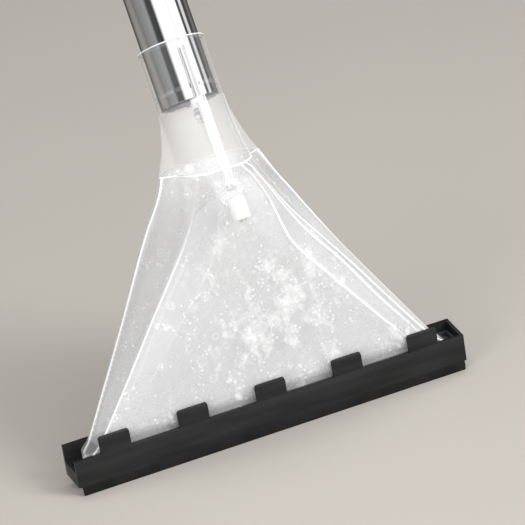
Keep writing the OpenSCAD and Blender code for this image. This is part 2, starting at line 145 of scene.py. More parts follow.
def add_rows(bm, rows):
    """Vertices from rows of points in millimetres; a fourth number is the point's gleam, the
    weight of its painted highlight.
    """
    gleam = bm.verts.layers.float.get("gleam") or bm.verts.layers.float.new("gleam")
    result = []
    for row in rows:
        verts = []
        for p in row:
            vert = bm.verts.new(Vector(p[:3]) * MM)
            vert[gleam] = p[3] if len(p) > 3 else 0.0
            verts.append(vert)
        result.append(verts)
    return result


def walled_shell(outer, inner, wrap):
    """A closed wall between an outer and an inner grid of points."""
    bm = bmesh.new()
    out, inn = add_rows(bm, outer), add_rows(bm, inner)
    quad_grid(bm, out, wrap)
    quad_grid(bm, inn, wrap, flip=True)
    quad_grid(bm, [inn[0], out[0]], wrap)
    quad_grid(bm, [out[-1], inn[-1]], wrap)
    if not wrap:
        for end in (0, -1):
            quad_grid(bm, [[row[end] for row in inn], [row[end] for row in out]], False)
    return bm


def lathe(profile, centre=(0, 0), segments=96, place=NECK):
    """Closed ring or rod: a (radius, height) outline turned round the neck's direction."""
    bm = bmesh.new()
    rows = []
    for i in range(segments):
        a = 2 * math.pi * i / segments
        rows.append([
            bm.verts.new(place @ Vector((
                (centre[0] + r * math.cos(a)) * MM, (centre[1] + r * math.sin(a)) * MM, z * MM,
            )))
            for r, z in profile
        ])
    rows.append(rows[0])
    for low, high in zip(rows, rows[1:]):
        for i in range(len(profile)):
            j = (i + 1) % len(profile)
            bm.faces.new((low[i], low[j], high[j], high[i]))
    bmesh.ops.remove_doubles(bm, verts=bm.verts, dist=1e-7)
    return bm


def merge(bm, other):
    """Adds one bmesh to another."""
    mesh = bpy.data.meshes.new("merged")
    other.to_mesh(mesh)
    other.free()
    bm.from_mesh(mesh)
    bpy.data.meshes.remove(mesh)


def rounded(points, radius, steps=4):
    """A closed outline with each corner replaced by a short arc."""
    result = []
    count = len(points)
    for i in range(count):
        p = Vector(points[i])
        a, b = Vector(points[i - 1]), Vector(points[(i + 1) % count])
        cut = min(radius, (a - p).length * 0.45, (b - p).length * 0.45)
        start, end = p + (a - p).normalized() * cut, p + (b - p).normalized() * cut
        for k in range(steps + 1):
            t = k / steps
            result.append(tuple((1 - t) ** 2 * start + 2 * t * (1 - t) * p + t * t * end))
    return result


def welded(node):
    """A bmesh of a CAD node with its flat faces made whole."""
    bm = bmesh.new()
    bm.from_mesh(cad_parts[node].data)
    bmesh.ops.remove_doubles(bm, verts=bm.verts, dist=2e-6)
    bmesh.ops.dissolve_limit(
        bm, angle_limit=math.radians(1.0), verts=bm.verts, edges=bm.edges, delimit={"NORMAL"}
    )
    return bm


def round_edges(bm, width, segments, sharp_deg):
    """Bevel the edges that turn by more than sharp_deg; width is in millimetres."""
    limit = math.radians(sharp_deg)
    edges = [e for e in bm.edges if len(e.link_faces) == 2 and e.calc_face_angle(0) > limit]
    bmesh.ops.bevel(
        bm, geom=edges, offset=width * MM, segments=segments, profile=0.5,
        affect="EDGES", clamp_overlap=True,
    )


def refined_piece(node, width, material, body, slot):
    """A CAD node with its sharp edges rounded."""
    bm = welded(node)
    round_edges(bm, width, 2, 30)
    obj = finish_piece(node + "_finish", bm, material, body, [node], 50)
    weighted = obj.modifiers.new("even_faces", "WEIGHTED_NORMAL")
    weighted.keep_sharp = True
    return obj


# ---------------------------------------------------------------- smooth curves
def slopes(xs, ys):
    """Slopes at the knots that keep a curve from overshooting."""
    count = len(xs)
    step = [(ys[i + 1] - ys[i]) / (xs[i + 1] - xs[i]) for i in range(count - 1)]
    result = [step[0]]
    for i in range(1, count - 1):
        a, b = step[i - 1], step[i]
        result.append(0.0 if a * b <= 0 else 2 * a * b / (a + b))
    result.append(step[-1])
    return result


def curve_at(xs, ys, x):
    """Smooth curve through (xs, ys)."""
    x = min(max(x, xs[0]), xs[-1])
    i = max(k for k in range(len(xs) - 1) if xs[k] <= x)
    m = slopes(xs, ys)
    h = xs[i + 1] - xs[i]
    t = (x - xs[i]) / h
    return (
        (2 * t**3 - 3 * t**2 + 1) * ys[i] + (t**3 - 2 * t**2 + t) * h * m[i]
        + (3 * t**2 - 2 * t**3) * ys[i + 1] + (t**3 - t**2) * h * m[i + 1]
    )


def section_at(s):
    """The section at a place s along SECTIONS, where whole numbers are the listed ones."""
    knots = list(range(len(SECTIONS)))
    return [curve_at(knots, [row[c] for row in SECTIONS], s) for c in range(7)]


def soft_step(x, low, high, blur):
    """1 below low, 0 above high, straight between, with its two bends rounded by blur."""
    def ramp(v):
        """Zero below, v above, joined by a parabola over the blur."""
        if v <= -blur:
            return 0.0
        if v >= blur:
            return v
        return (v + blur) ** 2 / (4 * blur)
    rise = ramp(x - low) - ramp(x - high)
    return 1 - rise / (high - low)


def bulge_share(z):
    """How strong the painted highlight on the bulge's edges is at a height."""
    if z <= 30 or z >= 165:
        return 0.0
    return min(1.0, (z - 30) / 30)


def bulge(x, z):
    """How far the front stands proud of its plain face over the jet."""
    if z <= HOOD[0][0] or z >= HOOD[-1][0]:
        return 0.0
    heights = [h[0] for h in HOOD]
    proud, ridge, foot = (curve_at(heights, [h[c] for h in HOOD], z) for c in (1, 2, 3))
    return proud * soft_step(abs(x), ridge, foot, 1.6)


# ---------------------------------------------------------------- funnel outline
SIDE_STEPS, CORNER_STEPS, BAND_STEPS, FACE_STEPS = 6, 20, 6, 60
# Painted highlight lines: half width of the one on each corner arc, the share of the right side's
# painted highlight kept on the left corner and ridge where less light falls, and the half width
# and steps of the ridge and foot lines
CORNER_LINE = 0.9
LEFT_CORNER_HIGHLIGHT, LEFT_RIDGE_HIGHLIGHT = 0.6, 0.1
LINE_HALF_W, LINE_STEPS = 0.9, 4


def section_point(sec, side, front, a, inset):
    """A point of a corner arc, at angle a from the section's X axis."""
    z, y, lean, half_d, wf, wr, radius = sec
    w = (wf if front < 0 else wr) - inset
    d = half_d - inset
    rx = max(0.5, min(radius - inset, w))
    ry = max(0.5, min(radius - inset, d))
    x = side * (w - rx + rx * math.cos(a))
    v = front * (d - ry + ry * math.sin(a))
    lean = math.radians(lean)
    return Vector((x, y + v * math.cos(lean), z - v * math.sin(lean)))


def spread(a, b, steps):
    """Numbers from a towards b, without b."""
    return [a + (b - a) * i / steps for i in range(steps)]


def seam_points(sec, front, inset, corner):
    """Points along the side wall from the parting line to the corner, with their gleam."""
    other = section_point(sec, 1, -front, 0, inset)
    parting = PARTING_Y + (corner.z - MOUTH_Z) * PARTING_SLOPE
    span = other.y - corner.y
    share = 0.5 if abs(span) < 1e-6 else min(max((parting - corner.y) / span, 0.02), 0.98)
    seam = corner.lerp(other, share)
    shares = [0.0, 0.08, 0.2] + spread(0.35, 1.0, SIDE_STEPS)
    return [(*seam.lerp(corner, t), max(0.0, 1 - t * 8)) for t in shares]


def right_outline(sec, front, inset):
    """The right half of one shell's section: side wall, corner and half of the face."""
    _, _, _, _, wf, wr, radius = sec
    w = (wf if front < 0 else wr) - inset
    r = max(0.5, min(radius - inset, w))
    face_w = w - r
    arc_len = r * math.pi / 2
    total = arc_len + face_w
    corner_len = max(arc_len, 0.01)

    def along(x):
        """Length of outline from the side wall's end to the place with this x."""
        if x <= face_w:
            return arc_len + face_w - x
        return arc_len * math.acos(min(1.0, (x - face_w) / r)) / (math.pi / 2)

    def at(u):
        """The point at a length u along the outline."""
        a = min(u / corner_len, 1.0) * math.pi / 2
        p = section_point(sec, 1, front, a, inset)
        if u > arc_len:
            p.x = face_w - (u - arc_len)
        return p

    heights = [h[0] for h in HOOD]
    front_z = section_point(sec, 1, front, math.pi / 2, inset).z
    ridge, foot = (curve_at(heights, [h[c] for h in HOOD], front_z) for c in (2, 3))
    marks = [along(min(foot, w * 0.97)), along(min(ridge, w * 0.9))]
    marks[0] = min(max(marks[0], LINE_HALF_W + 0.2), total - 4 * LINE_HALF_W - 1)
    marks[1] = min(max(marks[1], marks[0] + 2 * LINE_HALF_W + 0.4), total - LINE_HALF_W - 0.2)
    # Painted highlight along the bulge's ridge and foot, on the front shell only
    strength = bulge_share(front_z) if front < 0 else 0.0
    stops, start = [], 0.0
    for mark, steps in zip(marks, (CORNER_STEPS, BAND_STEPS)):
        stops += [(u, 0.0) for u in spread(start, mark - LINE_HALF_W, steps)]
        for i in range(2 * LINE_STEPS):
            off = (i / LINE_STEPS - 1) * LINE_HALF_W
            stops.append((mark + off, strength * max(0.0, 1 - abs(off) / LINE_HALF_W)))
        start = mark + LINE_HALF_W
    stops += [(u, 0.0) for u in spread(start, total, FACE_STEPS // 2)] + [(total, 0.0)]
    # Painted highlight along the corner arc, brighter on tighter corners
    corner_gleam = min(1.0, 6.0 / max(r, 1.0)) * 0.9
    points = []
    for u, gleam in stops:
        off = abs(u - arc_len / 2) / CORNER_LINE
        points.append((*at(u), max(gleam, corner_gleam * max(0.0, 1 - off))))
    side = seam_points(sec, front, inset, Vector(points[0][:3]))
    return side + points


def half_ring(sec, front, inset):
    """One shell's part of a section, from the parting line on the right round to the left."""
    right = right_outline(sec, front, inset)
    corner_end = len(right) - 2 * LINE_STEPS * 2 - BAND_STEPS - FACE_STEPS // 2 - 1
    left = []
    for i, (x, y, z, gleam) in reversed(list(enumerate(right[:-1]))):
        # The left half mirrors the right, with its painted highlights dimmed
        left.append((-x, y, z, gleam * (LEFT_CORNER_HIGHLIGHT if i < corner_end else LEFT_RIDGE_HIGHLIGHT)))
    return right + left


def with_bulge(points):
    """The points with the bulge over the jet pushed out of them."""
    return [(x, y - bulge(x, z), z, gleam) for x, y, z, gleam in points]


def body_levels(per_section=8):
    """Places of the rings, with two more close to each end for its thin, painted bright edge."""
    last = BODY_COUNT - 1
    even = [k / per_section for k in range(1, last * per_section)]
    return [0.0, 0.04, 0.09] + even + [last - 0.06, last - 0.03, float(last)]


# ---------------------------------------------------------------- materials
class Look:
    """A node material with short calls for the nodes that it needs."""

    def __init__(self, name):
        """Start from a Principled shader and the object's own coordinates."""
        self.mat = bpy.data.materials.new(name)
        self.mat.use_nodes = True
        self.nodes = self.mat.node_tree.nodes
        self.links = self.mat.node_tree.links
        self.shader = self.nodes["Principled BSDF"]
        self.place = self.nodes.new("ShaderNodeTexCoord").outputs["Object"]

    def set(self, **values):
        """Set shader inputs by name, with _ for a space."""
        for key, value in values.items():
            self.shader.inputs[key.replace("_", " ")].default_value = value
        return self

    def link(self, source, key):
        """Feed a node's output into a shader input."""
        self.links.new(source, self.shader.inputs[key])
        return self

    def stretched(self, scale, turn=(0, 0, 0)):
        """Object coordinates scaled and turned, for streaks."""
        node = self.nodes.new("ShaderNodeMapping")
        node.inputs["Scale"].default_value = scale
        node.inputs["Rotation"].default_value = turn
        self.links.new(self.place, node.inputs["Vector"])
        return node.outputs["Vector"]

    def noise(self, scale, detail=4.0, rough=0.5, place=None):
        """Fractal noise."""
        node = self.nodes.new("ShaderNodeTexNoise")
        node.inputs["Scale"].default_value = scale
        node.inputs["Detail"].default_value = detail
        node.inputs["Roughness"].default_value = rough
        self.links.new(place or self.place, node.inputs["Vector"])
        return node.outputs["Fac"]

    def cells(self, scale, feature="F1", place=None):
        """Distance to the nearest point of a scatter of cells."""
        node = self.nodes.new("ShaderNodeTexVoronoi")
        node.feature = feature
        node.inputs["Scale"].default_value = scale
        self.links.new(place or self.place, node.inputs["Vector"])
        return node.outputs["Distance"]

    def ramp(self, source, low, high, start=0.0, end=1.0, smooth=False):
        """Map low..high to start..end, clamped."""
        node = self.nodes.new("ShaderNodeMapRange")
        node.interpolation_type = "SMOOTHSTEP" if smooth else "LINEAR"
        limits = {"From Min": low, "From Max": high, "To Min": start, "To Max": end}
        for key, value in limits.items():
            node.inputs[key].default_value = value
        self.links.new(source, node.inputs["Value"])
        return node.outputs["Result"]

    def math(self, op, a, b, clamp=False):
        """One arithmetic node; a and b are numbers or outputs."""
        node = self.nodes.new("ShaderNodeMath")
        node.operation = op
        node.use_clamp = clamp
        for i, v in enumerate((a, b)):
            if isinstance(v, (int, float)):
                node.inputs[i].default_value = v
            else:
                self.links.new(v, node.inputs[i])
        return node.outputs["Value"]

    def mix(self, fac, a, b):
        """Mix two colours; each is a tuple or an output."""
        node = self.nodes.new("ShaderNodeMix")
        node.data_type = "RGBA"
        for key, v in (("A", a), ("B", b)):
            socket = next(s for s in node.inputs if s.name == key and s.type == "RGBA")
            if isinstance(v, tuple):
                socket.default_value = (*v, 1.0) if len(v) == 3 else v
            else:
                self.links.new(v, socket)
        if isinstance(fac, (int, float)):
            node.inputs[0].default_value = fac
        else:
            self.links.new(fac, node.inputs[0])
        return next(s for s in node.outputs if s.type == "RGBA")

    def attribute(self, name):
        """A value stored on the mesh."""
        node = self.nodes.new("ShaderNodeAttribute")
        node.attribute_name = name
        return node.outputs["Fac"]

    def facing(self, blend=0.5):
        """Zero seen face on, one at a grazing angle."""
        node = self.nodes.new("ShaderNodeLayerWeight")
        node.inputs["Blend"].default_value = blend
        return node.outputs["Facing"]

    def bump(self, height, strength, distance, after=None):
        """A bump normal, on top of an earlier one if given."""
        node = self.nodes.new("ShaderNodeBump")
        node.inputs["Strength"].default_value = strength
        node.inputs["Distance"].default_value = distance
        self.links.new(height, node.inputs["Height"])
        if after is not None:
            self.links.new(after, node.inputs["Normal"])
        return node.outputs["Normal"]


def moulded(name, dark, light, rough=(0.38, 0.5), grain=0.12, shine=0.5):
    """Injection-moulded plastic: eroded grain, flow marks and faint scuffs."""
    look = Look(name)
    look.set(IOR=1.5, Specular_IOR_Level=shine)
    flow = look.noise(1.0, 3.0, 0.5, look.stretched((18, 90, 160)))
    fine = look.noise(2600, 2.0, 0.6)
    scuff = look.noise(1.0, 5.0, 0.7, look.stretched((60, 400, 900)))
    look.link(look.mix(look.ramp(flow, 0.35, 0.7), dark, light), "Base Color")
    look.link(look.ramp(scuff, 0.3, 0.75, *rough), "Roughness")
    normal = look.bump(fine, grain, 0.00012)
    look.link(look.bump(look.noise(240, 2.0), 0.08, 0.0003, normal), "Normal")
    return look.mat


def rubber(name, dark, light):
    """Soft rubber: matt, with a dusty bloom and fine dimples."""
    look = Look(name)
    look.set(IOR=1.5, Specular_IOR_Level=0.2)
    bloom = look.noise(70, 5.0, 0.6)
    look.link(look.mix(look.ramp(bloom, 0.35, 0.75), dark, light), "Base Color")
    look.link(look.ramp(bloom, 0.3, 0.7, 0.55, 0.75), "Roughness")
    look.link(look.bump(look.noise(1800, 3.0, 0.7), 0.2, 0.00015), "Normal")
    return look.mat


def chromed(name):
    """Polished chrome on a drawn tube: faint draw lines along it, haze and painted dark
    reflections on its flanks.
    """
    look = Look(name)
    look.set(Metallic=1.0, Specular_Tint=(0.2, 0.2, 0.2, 1.0))
    along = look.stretched((700, 700, 6), (NECK_LEAN, 0, 0))
    lines = look.noise(1.0, 2.0, 0.5, along)
    haze = look.noise(45, 4.0, 0.6)
    # Painted shade: the colour darkens on the flanks seen at a grazing angle, standing in for dark
    # reflections
    painted_dark_flank = look.ramp(look.facing(0.5), 0.62, 0.98, 0.0, 0.85, True)
    base = look.mix(haze, (0.62, 0.625, 0.63), (0.7, 0.705, 0.71))
    look.link(look.mix(painted_dark_flank, base, (0.06, 0.06, 0.062)), "Base Color")
    look.link(look.ramp(haze, 0.3, 0.75, 0.05, 0.1), "Roughness")
    look.link(look.bump(lines, 0.02, 0.00005), "Normal")
    return look.mat


def metal(name, low, high, rough=(0.25, 0.4)):
    """Turned or woven metal with fine marks."""
    look = Look(name)
    look.set(Metallic=1.0)
    marks = look.noise(1.0, 3.0, 0.6, look.stretched((900, 900, 90)))
    look.link(look.mix(marks, low, high), "Base Color")
    look.link(look.ramp(marks, 0.3, 0.7, *rough), "Roughness")
    look.link(look.bump(marks, 0.15, 0.0001), "Normal")
    return look.mat


# Heights, in metres, between which the funnel's foot turns from wiped clean to hazy
WIPED_TOP, HAZE_FOOT = 0.0256, 0.0272
WIPED_SHARE = 0.38
# Where the foam is thickest, in metres, and the scale of that thick patch along X, Y and Z
FOAM_X, FOAM_Z = 0.014, 0.07
FOAM_SCALE = (16, 9, 11)


def clear_plastic(
    name, veil, edge, foam=0.0, line=0.6, tint=(0.93, 0.935, 0.94), rough=0.1, shine=0.45
):
    """Clear moulded plastic: a veil that thickens at grazing angles, and foam dried inside it.

    veil, edge, foam and line are how much each of them hides what is behind: the plain wall, the
    wall seen edge-on, the splashes and foam, and the thick rims marked by the gleam attribute,
    whose whiter colour is a painted highlight.
    """
    look = Look(name)
    look.set(IOR=1.49, Specular_IOR_Level=shine)
    swirl = look.noise(16, 4.0, 0.55)
    fine = look.noise(150, 5.0, 0.7)
    rim = look.ramp(look.facing(0.5), 0.66, 0.96, 0.0, edge, True)
    gleam = look.math("MULTIPLY", look.attribute("gleam"), line)
    mottle = look.math("ADD", look.math("MULTIPLY", swirl, 0.5), look.math("MULTIPLY", fine, 0.5))
    base = look.ramp(mottle, 0.36, 0.64, veil * 0.86, veil * 1.14)
    if foam:
        # The lip that sits in the adapter is wiped clean
        height = look.nodes.new("ShaderNodeSeparateXYZ")
        look.links.new(look.place, height.inputs[0])
        wiped = look.ramp(height.outputs["Z"], WIPED_TOP, HAZE_FOOT, WIPED_SHARE, 1.0, True)
        base = look.math("MULTIPLY", base, wiped)
    alpha = look.math("ADD", look.math("ADD", base, rim), gleam, True)
    # Painted highlight: where the gleam attribute is set, the colour is pushed towards white
    white = look.math("MULTIPLY", look.ramp(gleam, 0.0, 0.4), 0.9)
    normal = look.bump(look.noise(16, 2.0), 0.04, 0.001)
    if foam:
        ball = look.stretched(FOAM_SCALE)
        centre = look.nodes.new("ShaderNodeVectorMath")
        centre.operation = "DISTANCE"
        centre.inputs[1].default_value = (FOAM_X * FOAM_SCALE[0], 0.0, FOAM_Z * FOAM_SCALE[2])
        look.links.new(ball, centre.inputs[0])
        near = look.ramp(centre.outputs["Value"], 0.25, 1.0, 1.0, 0.0, True)
        streaked = look.noise(1.0, 7.0, 0.66, look.stretched((64, 40, 44), (0.0, 0.35, 0.0)))
        patch = look.math("ADD", streaked, look.math("MULTIPLY", near, 0.1))
        blotch = look.ramp(patch, 0.6, 0.69, 0.0, 1.0, True)
        speck = look.ramp(look.cells(230), 0.16, 0.26, 1.0, 0.0, True)
        speck = look.math("MULTIPLY", speck, look.ramp(patch, 0.5, 0.6, 0.0, 1.0, True))
        big = look.cells(85)
        ring = look.math("ABSOLUTE", look.math("SUBTRACT", big, 0.2), 0.0)
        ring = look.ramp(ring, 0.02, 0.07, 0.4, 0.0, True)
        drop = look.math("MAXIMUM", look.ramp(big, 0.06, 0.12, 1.0, 0.0, True), ring)
        drop = look.math("MULTIPLY", drop, look.ramp(look.noise(30, 2.0), 0.52, 0.58))
        torn = look.ramp(fine, 0.35, 0.62, 0.25, 1.0)
        film = look.math("MAXIMUM", look.math("MULTIPLY", blotch, torn), speck)
        film = look.math("MULTIPLY", look.math("MAXIMUM", film, drop), foam)
        film = look.math("MULTIPLY", film, wiped)
        alpha = look.math("ADD", alpha, film, True)
        white = look.math("MAXIMUM", white, film)
        normal = look.bump(look.math("MAXIMUM", drop, speck), 0.35, 0.0006, normal)
    look.link(look.mix(white, tint, (0.8, 0.8, 0.8)), "Base Color")
    look.link(alpha, "Alpha")
    look.link(look.ramp(fine, 0.3, 0.7, rough * 0.8, rough * 1.3), "Roughness")
    look.link(normal, "Normal")
    return look.mat


BLACK = moulded(
    "black_plastic_look", (0.005, 0.005, 0.0053), (0.011, 0.011, 0.0113), (0.34, 0.46), 0.12, 0.24
)
GREY = moulded("grey_plastic_look", (0.02, 0.021, 0.023), (0.035, 0.036, 0.039), (0.35, 0.5), 0.1)
RUBBER = rubber("black_rubber_look", (0.003, 0.003, 0.003), (0.008, 0.008, 0.008))
GREY_RUBBER = rubber("grey_rubber_look", (0.016, 0.02, 0.018), (0.03, 0.035, 0.031))
CHROME = chromed("chrome_look")
BRASS = metal("brass_look", (0.62, 0.45, 0.18), (0.75, 0.56, 0.26))
MESH_STEEL = metal("steel_mesh_look", (0.4, 0.4, 0.4), (0.65, 0.65, 0.65))
HAZE = (0.475, 0.478, 0.483)
NECK_HAZE = (0.47, 0.475, 0.485)
CLEAR = clear_plastic("clear_front_look", 0.19, 0.75, foam=0.26, line=0.8, tint=HAZE)
CLEAR_BACK = clear_plastic("clear_back_look", 0.44, 0.6, foam=0.36, line=0.8, tint=HAZE)
CLEAR_NECK = clear_plastic("clear_neck_look", 0.02, 0.7, line=0.9, tint=NECK_HAZE, shine=0.2)
CLEAR_PIPE = clear_plastic(
    "clear_pipe_look", 0.1, 0.7, line=0.7, tint=(0.8, 0.8, 0.8), shine=0.2
)
SILICONE = clear_plastic("silicone_look", 0.03, 0.1, rough=0.35, shine=0.1)
WHITE = moulded("white_plastic_look", (0.54, 0.54, 0.537), (0.6, 0.6, 0.597), (0.25, 0.4), 0.05)
BRISTLE = moulded("bristle_look", (0.01, 0.01, 0.011), (0.04, 0.04, 0.042), (0.3, 0.45), 0.1)


# ---------------------------------------------------------------- camera, lights and floor
# The camera fitted to the photograph, in metres: its place and its right, up and forward
CAMERA_EYE = (-0.5806, -1.6885, 0.9130)
CAMERA_RIGHT = (0.90902, -0.38957, -0.14807)
CAMERA_UP = (0.28791, 0.33010, 0.89897)
CAMERA_FORWARD = (0.30133, 0.85981, -0.41223)
CAMERA_LENS, CAMERA_SENSOR = 232.9, 36.0


def look_matrix(eye, right, up, forward):
    """World matrix of a camera from its place and its three directions."""
    m = Matrix((right, up, [-c for c in forward])).transposed().to_4x4()
    m.translation = eye
    return m


def camera():
    """The camera fitted to the photograph."""
    data = bpy.data.cameras.new("camera")
    data.sensor_width = CAMERA_SENSOR
    data.lens = CAMERA_LENS
    data.clip_end = 50.0
    cam = bpy.data.objects.new("camera", data)
    bpy.context.scene.collection.objects.link(cam)
    cam.matrix_world = look_matrix(
        Vector(CAMERA_EYE), CAMERA_RIGHT, CAMERA_UP, CAMERA_FORWARD
    )
    bpy.context.scene.camera = cam


def softbox(name, at, size, power, target=(0, 0.04, 0.12)):
    """An area lamp that lights the scene but does not mirror in the chrome."""
    data = bpy.data.lights.new(name, "AREA")
    data.shape = "RECTANGLE"
    data.size, data.size_y = size
    data.energy = power
    lamp = bpy.data.objects.new(name, data)
    bpy.context.scene.collection.objects.link(lamp)
    lamp.location = at
    lamp.rotation_mode = "QUATERNION"
    lamp.rotation_quaternion = (Vector(target) - Vector(at)).to_track_quat("-Z", "Y")
    lamp.visible_glossy = False


# Brightness of the studio walls round the tube's axis: [degrees from the front, brightness]
STUDIO_BANDS = [
    (-180, 0.04), (-128, 0.04), (-120, 0.15), (-80, 0.165), (-46, 0.22), (-38, 0.05),
    (-18, 0.035), (-6, 1.0), (30, 1.0), (37, 0.6), (43, 1.0), (72, 1.0), (78, 0.045),
    (86, 0.05), (91, 0.55), (100, 0.55), (106, 0.05), (180, 0.05),
]
STUDIO_STRENGTH = 2.0
# The two directions across the tube that the bands' angle is measured from
TOWARDS_FRONT = (-0.3025, -0.8179, 0.4895)
TOWARDS_RIGHT = (0.9532, -0.2596, 0.1553)


def studio_walls():
    """Softboxes and dark flags round the set, in bands that run along the tube."""
    world = bpy.data.worlds.new("studio")
    world.use_nodes = True
    nodes, links = world.node_tree.nodes, world.node_tree.links
    place = nodes.new("ShaderNodeTexCoord").outputs["Generated"]
    parts = []
    for axis in (TOWARDS_RIGHT, TOWARDS_FRONT):
        dot = nodes.new("ShaderNodeVectorMath")
        dot.operation = "DOT_PRODUCT"
        dot.inputs[1].default_value = axis
        links.new(place, dot.inputs[0])
        parts.append(dot.outputs["Value"])
    turn = nodes.new("ShaderNodeMath")
    turn.operation = "ARCTAN2"
    for i, part in enumerate(parts):
        links.new(part, turn.inputs[i])
    share = nodes.new("ShaderNodeMapRange")
    share.inputs["From Min"].default_value = -math.pi
    share.inputs["From Max"].default_value = math.pi
    links.new(turn.outputs["Value"], share.inputs["Value"])
    ramp = nodes.new("ShaderNodeValToRGB")
    stops = ramp.color_ramp.elements
    for i, (angle, level) in enumerate(STUDIO_BANDS):
        place_on = (angle + 180) / 360
        stop = stops[i] if i < 2 else stops.new(place_on)
        stop.position = place_on
        stop.color = (level, level, level, 1)
    links.new(share.outputs["Result"], ramp.inputs["Fac"])
    back = nodes["Background"]
    links.new(ramp.outputs["Color"], back.inputs["Color"])
    back.inputs["Strength"].default_value = STUDIO_STRENGTH
    bpy.context.scene.world = world
    bpy.context.scene.view_settings.view_transform = "Standard"


def studio():
    """Three softboxes and the bright and dark walls that the chrome mirrors."""
    softbox("key_light", (0.9, -1.3, 0.9), (0.6, 0.9), 42)
    softbox("fill_light", (-1.4, -1.0, 0.6), (0.9, 1.2), 38)
    softbox("top_light", (0.1, 0.5, 1.9), (1.6, 0.8), 16)
    studio_walls()


def floor():
    """A plain pale floor, wide enough for every view."""
    bm = bmesh.new()
    bmesh.ops.create_grid(bm, x_segments=8, y_segments=8, size=12.0)
    mesh = bpy.data.meshes.new("floor")
    bm.to_mesh(mesh)
    bm.free()
    obj = bpy.data.objects.new("floor", mesh)
    bpy.context.scene.collection.objects.link(obj)
    look = Look("floor_look")
    look.set(Roughness=0.85)
    cloud = look.noise(3, 3.0)
    look.link(look.mix(cloud, (0.255, 0.24, 0.217), (0.272, 0.256, 0.232)), "Base Color")
    obj.data.materials.append(look.mat)


# ---------------------------------------------------------------- pieces
def funnel_shell(front):
    """One clear half of the funnel, with the bulge over the jet on the front one."""
    sign = -1 if front else 1
    outer, inner = [], []
    for s in body_levels():
        sec = section_at(s)
        rows = [half_ring(sec, sign, inset) for inset in (0.0, SHELL_T)]
        if front:
            rows = [with_bulge(row) for row in rows]
        outer.append(rows[0])
        inner.append([(*p[:3], 0.0) for p in rows[1]])
    # Painted highlight along the bottom edge and, fainter, along the top ring
    outer[0] = [(*p[:3], 0.8) for p in outer[0]]
    outer[-1] = [(*p[:3], 0.55) for p in outer[-1]]
    bm = walled_shell(outer, inner, wrap=False)
    node = "front_shell" if front else "rear_shell"
    look = CLEAR if front else CLEAR_BACK
    return finish_piece(node + "_clear", bm, look, "head", [node], 30)


def neck_socket():
    """The clear neck: smooth flare, straight sleeve and a rolled rim, bored for the tube."""
    segments = 24

    def whole_ring(sec, inset):
        """A full ring of a funnel section, starting at the front."""
        arc = [i * math.pi / 2 / segments for i in range(segments)]
        ring = [section_point(sec, 1, -1, math.pi / 2 - a, inset) for a in arc]
        ring += [section_point(sec, 1, 1, a, inset) for a in arc]
        ring += [section_point(sec, -1, 1, math.pi / 2 - a, inset) for a in arc]
        ring += [section_point(sec, -1, -1, a, inset) for a in arc]
        return ring

    def sleeve_ring(radius, z, gleam=0.0):
        """A round ring in the neck's frame."""
        count = segments * 4
        points = [
            NECK @ (Vector((
                radius * math.sin(2 * math.pi * i / count),
                -radius * math.cos(2 * math.pi * i / count), z,
            )) * MM) / MM
            for i in range(count)
        ]
        return [(*p, gleam) for p in points]

    start = BODY_COUNT - 1
    flare = [start, start + 0.03, start + 0.06] + [start + k / 10 for k in range(1, 21)]
    flare_veil = 0.19
    # The first ring's gleam paints a highlight along the joint with the funnel
    outer = [[(*p, 0.6 if k == 0 else flare_veil) for p in whole_ring(section_at(s), 0.0)]
             for k, s in enumerate(flare)]
    # The last rings' gleam paints a highlight along the rolled rim
    outer += [sleeve_ring(r, z, gleam) for r, z, gleam in (
        (19.75, -36.5, 0), (19.6, -35, 0), (19.6, -20, 0), (19.6, -4, 0), (19.7, -3, 0),
        (20.25, -2.4, 0.1), (20.4, -1.6, 0), (20.4, -0.8, 0.2), (20.1, -0.2, 0.9), (19.6, 0, 0.9),
    )]
    inner = [whole_ring(section_at(s), SHELL_T) for s in flare[:-1]]
    inner += [sleeve_ring(r, z) for r, z in (
        (17.6, -39.2), (16.2, -38.4), (16.0, -37.9), (16.0, -36.3), (TUBE_R + 0.06, -36.2),
        (TUBE_R + 0.06, -30.2), (18.7, -30), (18.7, -27.6), (TUBE_R + 0.06, -27.4),
        (TUBE_R + 0.06, -1.2), (TUBE_R + 0.5, -0.2),
    )]
    bm = bmesh.new()
    out, inn = add_rows(bm, outer), add_rows(bm, inner)
    quad_grid(bm, out, True)
    quad_grid(bm, inn, True, flip=True)
    quad_grid(bm, [inn[0], out[0]], True)
    quad_grid(bm, [out[-1], inn[-1]], True)
    finish_piece("tube_socket_clear", bm, CLEAR_NECK, "head", ["tube_socket"], 30)


def chrome_tube():
    """The suction tube with softened ends."""
    bore = TUBE_R - TUBE_T
    outline = rounded([
        (TUBE_R, TUBE_LOW), (TUBE_R, TUBE_HIGH), (bore, TUBE_HIGH), (bore, TUBE_LOW),
    ], 0.4)
    bm = lathe(outline, segments=128)
    finish_piece("suction_tube_chrome", bm, CHROME, "tube", ["suction_tube"])


def seal_ring(node, body, low, high, bore, outer, material, centre=(0, 0), segments=96):
    """A ring seal with a rounded section."""
    outline = rounded([(bore, low), (outer, low), (outer, high), (bore, high)], 0.45, 6)
    bm = lathe(outline, centre, segments)
    finish_piece(node + "_ring", bm, material, body, [node])


